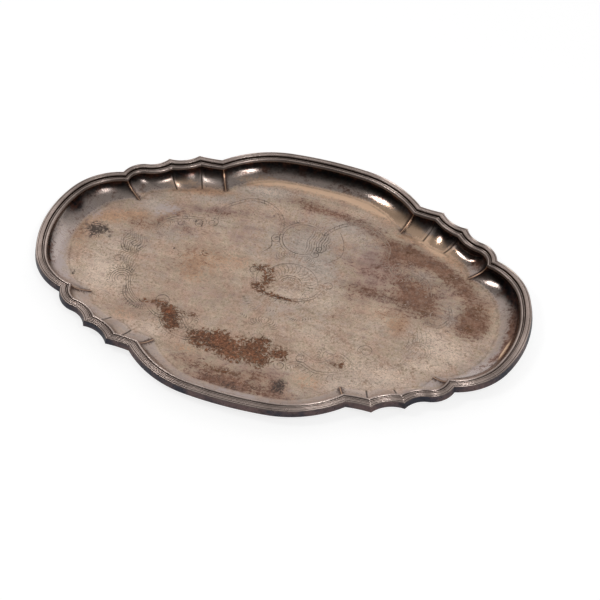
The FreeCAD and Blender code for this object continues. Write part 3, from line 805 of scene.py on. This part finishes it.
def section_marks():
    """Groove and skirt marks for each point of the section.  Groove, dirt and painted shade: how far
    it lies below the highest points within 0.9 mm to either side, in shares of 0.8 mm; the channel
    gets at least a share that falls off inward from the riser, a painted shadow, and the bead's
    flanks a little, painted shade that leaves its crown lit.  Skirt: 1 from just under the
    outermost reed's crown downward."""
    inset, height = SECTION_LINE.T
    near = np.abs(inset[:, None] - inset[None, :]) < 0.9
    before = np.where(near & (inset[None, :] <= inset[:, None]), height[None, :], 0).max(1)
    after = np.where(near & (inset[None, :] >= inset[:, None]), height[None, :], 0).max(1)
    groove = np.clip((np.minimum(before, after) - height) / 0.8, 0, 1)
    flanks = 0.26 * (inset > BEAD_FOOT) * (np.abs(inset - BEAD_TOP) > 0.6)
    in_channel = (inset > CHANNEL_FROM) & (inset < CHANNEL_TO) & (height < REED_TOP)
    channel = np.clip(1.7 - (inset - 7.1) / 0.4, 0.2, 0.7) * in_channel
    skirt = np.clip((17.25 - height) / 0.5, 0, 1) * (inset < 1.6)
    return np.maximum(np.maximum(groove, channel), flanks) * (inset > 1.0), skirt


def border_piece(node, first, last):
    """One length of the moulding: the section's rows between two mitres, closed by flat ends."""
    grid = BORDER_RINGS[:, np.arange(first, last + 1) % ROUND_STEPS]
    rows, count, _ = grid.shape
    end_cap = np.arange(rows) * count
    faces = [grid_faces(rows, count, closed_rows=True)[:, ::-1], end_cap[None, :],
             end_cap[None, ::-1] + count - 1]
    groove, skirt = (np.repeat(values, count) for values in section_marks())
    piece = mesh_object(node + "_moulding", grid.reshape(-1, 3), faces, border_plate, smooth_below=40.0,
                        marks={"groove": groove, "skirt": skirt})
    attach(piece, "root")
    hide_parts(node)


body = body_piece()
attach(body, "root")
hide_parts("tray_body")
for node, first, last in zip(SECTIONS, [MITRES[-1] - ROUND_STEPS] + MITRES[:-1], MITRES):
    border_piece(node, first, last)


# ---------------------------------------------------------------------------------------------
# Chased ornament on the field: scrolls, a shell and a cartouche, hatching and matting
# ---------------------------------------------------------------------------------------------
LONG, SHORT = 44, 7             # points on a drawn line and on a short stroke


def bow(x, y, radius, first, last, squash=1.0):
    """Arc of an ellipse: the centre plus radius times (cosine, squash times sine), in degrees."""
    angles = np.radians(np.linspace(first, last, LONG))
    return np.column_stack([x + radius * np.cos(angles), y + radius * squash * np.sin(angles)])


def curl(x, y, outer, inner, first, last):
    """Spiral: the radius is drawn in evenly from outer to inner as the angle runs."""
    angles = np.radians(np.linspace(first, last, LONG))
    radius = np.linspace(outer, inner, LONG)
    return np.column_stack([x + radius * np.cos(angles), y + radius * np.sin(angles)])


def through(*points):
    """Smooth line through given points: a cubic between each two whose slope at a point is half
    the step from the point before to the point after."""
    points = np.array(points, float)
    at = np.linspace(0, len(points) - 1, LONG)
    index = np.minimum(at.astype(int), len(points) - 2)
    u = (at - index)[:, None]
    before, here = points[np.maximum(index - 1, 0)], points[index]
    ahead, after = points[index + 1], points[np.minimum(index + 2, len(points) - 1)]
    return here + u / 2 * (ahead - before + u * (2 * before - 5 * here + 4 * ahead - after
                                                 + u * (3 * (here - ahead) + after - before)))


def beside(line, gap):
    """The line shifted to its left by a gap."""
    travel = np.gradient(line, axis=0)
    travel /= np.linalg.norm(travel, axis=1)[:, None]
    return line + np.column_stack([-travel[:, 1], travel[:, 0]]) * gap


def comb(line, teeth, length, lean, hook=0.0):
    """Short strokes standing on a line: tooth k starts on the line, leans from its left normal by an
    angle, and hooks aside by the sine of half a turn.  Teeth are longest in the middle."""
    place = np.linspace(0, len(line) - 1, teeth).astype(int)
    travel = np.gradient(line, axis=0)[place]
    travel /= np.linalg.norm(travel, axis=1)[:, None]
    normal = np.column_stack([-travel[:, 1], travel[:, 0]])
    a = math.radians(lean)
    tooth = normal * math.cos(a) + travel * math.sin(a)
    reach = length * (0.55 + 0.45 * np.sin(np.linspace(0, math.pi, teeth)))
    share = np.linspace(0, 1, SHORT)
    return (line[place][:, None, :] + tooth[:, None, :] * (reach[:, None] * share)[:, :, None]
            + travel[:, None, :] * (hook * np.sin(math.pi * share))[None, :, None])


def fan_of_strokes(x, y, inner, outer, first, last, count, hook):
    """Strokes that run out from a centre; each turns aside by hook degrees times the sine of half a
    turn."""
    share = np.linspace(0, 1, SHORT)
    angles = np.radians(np.linspace(first, last, count)[:, None] + hook * np.sin(math.pi * share))
    radius = inner + (outer - inner) * share
    return np.stack([x + radius * np.cos(angles), y + radius * np.sin(angles)], axis=-1)


def matting(dice, x, y, half_length, half_breadth, count):
    """Punched dots strewn evenly over an ellipse, as strokes 0.8 mm long."""
    angle = dice.uniform(0, 2 * math.pi, count)
    far = np.sqrt(dice.uniform(0, 1, count))
    middle = np.column_stack([x + half_length * far * np.cos(angle),
                              y + half_breadth * far * np.sin(angle)])
    lie = dice.uniform(0, math.pi, count)
    travel = np.stack([np.cos(lie), np.sin(lie)], axis=-1)
    return middle[:, None, :] + travel[:, None, :] * np.linspace(-0.4, 0.4, SHORT)[:, None]


def mirrored(strokes):
    """The strokes and their mirror images in the tray's short axis."""
    return np.concatenate([strokes, strokes * [-1, 1]])


# Section of a chased line: across in half-widths, up in millimetres from the field, and how dark.
LINE_ACROSS = np.array([-1.0, -0.5, 0.0, 0.5, 1.0])
LINE_UP = np.array([-0.05, 0.06, 0.012, 0.06, -0.05])
LINE_DARK = np.array([0.2, 0.8, 1.0, 0.8, 0.2])
BROAD, FINE = 0.58, 0.42        # half-widths of the chased lines
TIP = 0.02                      # how far into the half turn of its taper a line starts


def chased(name, strokes, half_width):
    """Ribbons along strokes, an array of strokes by points by (x, y).  Across: the normal times the
    half-width times a taper, the root of the sine of half a turn.  Up: two ridges with a groove
    between and their feet sunk in the field."""
    count, steps, _ = strokes.shape
    travel = np.gradient(strokes, axis=1)
    travel /= np.linalg.norm(travel, axis=2, keepdims=True)
    normal = np.stack([-travel[..., 1], travel[..., 0]], axis=-1)
    taper = np.sqrt(np.sin(np.linspace(TIP, math.pi - TIP, steps)))
    offset = taper[:, None] * LINE_ACROSS * half_width
    plan = strokes[:, :, None, :] + normal[:, :, None, :] * offset[None, :, :, None]
    up = np.broadcast_to(SHEET + LINE_UP, plan.shape[:3])
    vertices = np.concatenate([plan, up[..., None]], axis=3).reshape(-1, 3)
    sides = len(LINE_ACROSS)
    first = np.arange(count)[:, None] * steps * sides
    start = first + np.arange(sides)
    faces = [(grid_faces(steps, sides, closed_columns=True)[None] + first[:, :, None]).reshape(-1, 4),
             start, start[:, ::-1] + (steps - 1) * sides]
    marks = wear_and_light_marks(vertices)
    marks["groove"] = np.tile(LINE_DARK, count * steps)
    piece = mesh_object(name, vertices, faces, body_plate, smooth_below=60.0, marks=marks)
    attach(piece, "root")


def chased_ornament():
    """Rocaille in the old manner: a shell in the middle, an oval cartouche behind it, C-scrolls and
    arches round them, and scrolls with combs of hatching to either side."""
    arch = through((85, 60), (82, 78), (62, 95), (42, 94), (26, 80), (22, 62))
    side_arch = through((140, 30), (133, 46), (119, 55), (100, 59))
    side_scroll = through((160, 24), (165, 10), (158, -4), (146, -4), (140, 4))
    low_sweep = through((112, -60), (96, -70), (78, -62), (62, -76), (44, -70))
    end_sweep = through((141, -46), (136, -58), (124, -66), (113, -69))
    lower_edge = through((96, -66), (84, -82), (64, -88), (46, -82), (34, -90))
    collar = through((-28, 6), (-22, -10), (-4, -17), (16, -16), (34, -8), (42, 8))
    pairs = np.array([
        arch, beside(arch, -3.2), side_arch, beside(side_arch, 3.0), side_scroll,
        beside(side_scroll, -2.6), low_sweep, beside(low_sweep, 2.4), end_sweep,
        beside(end_sweep, -2.6), lower_edge, beside(lower_edge, 2.6),
        curl(100, 52, 7.5, 1.5, 60, 620), curl(22, 55, 6.0, 1.2, 90, -420),
        curl(88, 56, 6.0, 1.2, 90, 600), curl(100, -52, 8.5, 2.5, 270, -250),
        curl(70, -68, 7.0, 1.4, 100, 620), curl(46, -78, 6.0, 1.2, 0, -500),
        curl(150, 8, 7.0, 1.4, 30, 520), curl(158, -16, 5.5, 1.2, 200, -320),
        curl(118, 46, 5.0, 1.0, 0, 480),
        bow(146, -38, 4.2, -70, 230), bow(146, -38, 6.6, -60, 215), bow(146, -38, 9.0, -50, 200),
        bow(146, -38, 11.2, -40, 185), curl(30, -92, 5.5, 1.2, 180, 660),
    ])
    middle = np.array([
        bow(8, 2, 27.5, 158, 12), bow(8, 2, 12.2, 170, 0), bow(8, 2, 9.6, 175, -5), collar,
        beside(collar, 2.6),
        bow(3, 62, 20.5, 35, 325, squash=0.94), bow(3, 62, 23.5, 60, 300, squash=0.94),
        curl(-30, 10, 6.0, 1.2, -60, 440), curl(44, 12, 6.0, 1.2, 240, -260),
        curl(20, 76, 5.5, 1.0, 200, -300), curl(20, 47, 5.0, 1.0, 130, 600),
        through((34, 40), (44, 52), (42, 68), (34, 82)), through((-30, 34), (-24, 44), (-26, 52)),
    ])
    chased("chased_scrolls", np.concatenate([mirrored(pairs), middle]), BROAD)

    flames = np.array([
        through((-162 + 2.6 * k, 24 - k), (-158 + 2.4 * k, 15 - k), (-163 + 2.8 * k, 8 - k),
                (-157 + 2.2 * k, -1 - k), (-161 + 2.6 * k, -8 - k), (-154 + 2 * k, -16 - 2 * k))
        for k in range(8)])
    hem = np.array([
        through((-141 + k, -14 - k), (-143 + k, -30), (-138 + k, -46), (-128 + k, -58 + k / 3),
                (-113 + k, -66 + k / 2))
        for k in (0.0, 2.4, 4.4)])
    wall_of_waves = np.array([
        through((x, 62 - half), (x + 0.9, 62 - half / 2), (x - 0.9, 62), (x + 0.9, 62 + half / 2),
                (x, 62 + half))
        for x, half in ((8 + 2.4 * k, 17 - 0.035 * (k - 2) ** 3) for k in range(10))])
    arcs = np.array([bow(112, -30, radius, -34, 34) for radius in np.arange(22, 46, 4.0)])
    waves = np.concatenate([flames, hem, wall_of_waves, arcs,
                            np.array([bow(8, 2, radius, 120, 60) for radius in (4.0, 6.2)])])
    chased("chased_waves", waves, FINE)

    rim = bow(8, 2, 28.5, 12, 158)
    hatching = np.concatenate([
        mirrored(np.concatenate([
            comb(beside(arch, -4.4), 26, 5.0, 25), comb(beside(side_arch, 4.0), 16, 4.2, -20),
            comb(beside(end_sweep, -3.6), 17, 7.5, 15, 0.8), comb(beside(low_sweep, 3.4), 22, 4.6, -25),
            comb(beside(lower_edge, 3.6), 24, 5.0, 20), comb(side_scroll, 14, -4.0, 10),
            comb(bow(146, -38, 12.2, -40, 185), 18, -4.2, 20, 0.6),
            fan_of_strokes(104, 52, 9, 14, -150, 40, 12, 14),
            fan_of_strokes(70, -68, 8, 12.5, 150, 330, 12, -16),
            fan_of_strokes(0, -58, 8, 17, 95, 150, 6, 12),
        ])),
        fan_of_strokes(8, 2, 14, 26.5, 156, 14, 15, -7), fan_of_strokes(8, 2, 6.8, 9.0, 160, 20, 12, 0),
        comb(rim, 22, 2.4, 0), comb(collar, 24, -4.4, 22, 0.5),
        fan_of_strokes(0, 28, 8, 18, 70, 150, 8, 16), fan_of_strokes(10, 28, 8, 16, 30, 80, 6, -14),
        comb(through((-30, -24), (-20, -34), (-8, -37), (6, -33)), 16, 4.0, 20, 0.4),
        comb(through((14, -33), (26, -39), (40, -32)), 13, 3.6, 20, 0.4),
        comb(through((-24, -46), (-12, -50), (0, -46)), 11, 3.6, -18, 0.4),
        comb(bow(3, 62, 24.4, 300, 60, squash=0.94), 34, 3.6, 0),
    ])
    chased("chased_hatching", hatching, FINE)

    dice = np.random.default_rng(7)
    dots = np.concatenate([matting(dice, *zone) for zone in (
        (15, 1, 14, 9, 90), (30, -8, 8, 6, 30), (-149, -24, 12, 5, 60), (149, -24, 12, 5, 60),
        (-128, 38, 7, 9, 36), (128, 38, 7, 9, 36), (-62, 80, 14, 9, 60), (62, 80, 14, 9, 60),
        (-82, -74, 12, 6, 40), (82, -74, 12, 6, 40), (-4, 62, 9, 12, 50), (0, -66, 18, 6, 50))])
    chased("chased_matting", dots, FINE)


chased_ornament()


# ---------------------------------------------------------------------------------------------
# Floor, lights and camera
# ---------------------------------------------------------------------------------------------
FLOOR_RADIUS, FLOOR_SIDES = 4000.0, 96
FLOOR_Z = -0.05                 # just clear of the tray's underside
LAMP_DISTANCE = 2.0
# The camera stands this far round from the front to the right, and this far up, in degrees.
CAMERA_TURN, CAMERA_ELEVATION = 18.08, 49.5
CAMERA_PLACE = (0.3562, -1.0307, 1.2558)
# Softboxes: azimuth, elevation, width and height in degrees as the tray sees them, and radiance.
SOFTBOXES = {
    "left_softbox": (-108, 56, 11, 16, 11.0),
    "right_softbox": (134, 53, 10, 14, 13.0),
    "top_strip": (124, 62, 16, 7, 2.5),
}
# Light that comes from all round, by the angle from the horizon behind the tray up and over to the
# horizon in front of it, in degrees.
SKY = ((0, 0.95), (57, 0.95), (66, 0.4), (100, 0.32), (117, 0.12), (180, 0.15))
# How bright that is at one side and at the other: sideways share from and to, strength from and to.
SIDEWAYS = (-0.8, -0.2, 0.3, 1.0)


def pale_floor():
    """Nearly white matt board that also glows a little to the eye, as a lit sweep does."""
    finish = Finish("pale_floor")
    seen = finish.seen_by_camera()
    finish.shade("Base Color", finish.blend(seen, (0.93, 0.93, 0.93), (0.35, 0.35, 0.35)))
    finish.shade("Roughness", 0.9)
    finish.shade("Specular IOR Level", 0.1)
    finish.shade("Emission Color", (1.0, 1.0, 1.0))
    finish.shade("Emission Strength", finish.times(seen, 0.8))
    return finish.material


def floor():
    """Large pale disc under the tray: radius times (cosine, sine), with a point in the middle."""
    angles = np.linspace(0, 2 * math.pi, FLOOR_SIDES + 1)[:-1]
    plan = np.vstack([np.column_stack([np.cos(angles), np.sin(angles)]) * FLOOR_RADIUS, [[0, 0]]])
    faces = [fan(np.arange(FLOOR_SIDES), FLOOR_SIDES)]
    mesh_object("floor", lifted(plan, FLOOR_Z), faces, pale_floor())


def toward(azimuth, elevation):
    """Unit vector from the tray; azimuth is measured from +Y towards +X."""
    a, e = math.radians(azimuth), math.radians(elevation)
    return Vector((math.sin(a) * math.cos(e), math.cos(a) * math.cos(e), math.sin(e)))


def aimed(data, place, back):
    """A lamp or camera at a place, held level, with its back to a direction."""
    across = Vector((0, 0, 1)).cross(back).normalized()
    held = bpy.data.objects.new(data.name, data)
    held.matrix_world = Matrix((across, back.cross(across), back)).transposed().to_4x4()
    held.location = place
    bpy.context.scene.collection.objects.link(held)
    return held


def softbox(name, azimuth, elevation, width, height, radiance):
    """Oval area light aimed at the tray.  Power is radiance times pi times area."""
    light = bpy.data.lights.new(name, "AREA")
    light.shape = "ELLIPSE"
    light.size = 2 * LAMP_DISTANCE * math.tan(math.radians(width / 2))
    light.size_y = 2 * LAMP_DISTANCE * math.tan(math.radians(height / 2))
    light.energy = radiance * math.pi * light.size * light.size_y * math.pi / 4
    back = toward(azimuth, elevation)
    aimed(light, back * LAMP_DISTANCE, back)


def studio_world():
    """Bright behind the tray, dimmer overhead, dark in front and to the left; pale past the edge of the
    floor."""
    world = bpy.data.worlds.new("studio")
    sky = NodeWork(world)
    turned = sky.node("ShaderNodeVectorRotate", rotation_type="Z_AXIS")
    sky.feed(turned.inputs["Vector"], sky.node("ShaderNodeTexCoord").outputs["Generated"])
    sky.feed(turned.inputs["Angle"], math.radians(-CAMERA_TURN))
    parts = sky.node("ShaderNodeSeparateXYZ")
    sky.feed(parts.inputs[0], turned.outputs[0])
    ramp = sky.node("ShaderNodeValToRGB")
    stops = ramp.color_ramp.elements
    while len(stops) < len(SKY):
        stops.new(0.5)
    for stop, (degrees, level) in zip(stops, SKY):
        stop.position = degrees / 180
        stop.color = (level, level, level, 1)
    angle = sky.maths("ARCTAN2", parts.outputs["Z"], parts.outputs["Y"])
    sky.feed(ramp.inputs["Fac"], sky.maths("DIVIDE", angle, math.pi))
    sideways = sky.node("ShaderNodeMapRange")
    sky.feed_all(sideways.inputs[:5], (parts.outputs["X"], *SIDEWAYS))
    graded = sky.tree.nodes["Background"]
    sky.feed_all(graded.inputs[:2], (ramp.outputs["Color"], sideways.outputs[0]))
    pale = sky.node("ShaderNodeBackground")
    sky.feed(pale.inputs["Color"], (0.9, 0.9, 0.9))
    choice = sky.node("ShaderNodeMixShader")
    sky.feed_all(choice.inputs, (sky.seen_by_camera(), graded.outputs[0], pale.outputs[0]))
    sky.feed(sky.tree.nodes["World Output"].inputs["Surface"], choice.outputs[0])
    bpy.context.scene.world = world


def add_camera():
    """Long lens, looking down from the front right."""
    data = bpy.data.cameras.new("camera")
    data.sensor_width = 36.0
    data.lens = 105.5
    data.clip_start = 0.05
    data.clip_end = 50
    back = toward(180 - CAMERA_TURN, CAMERA_ELEVATION)
    bpy.context.scene.camera = aimed(data, CAMERA_PLACE, back)


floor()
for name, settings in SOFTBOXES.items():
    softbox(name, *settings)
studio_world()
add_camera()
bpy.context.scene.view_settings.view_transform = "Standard"
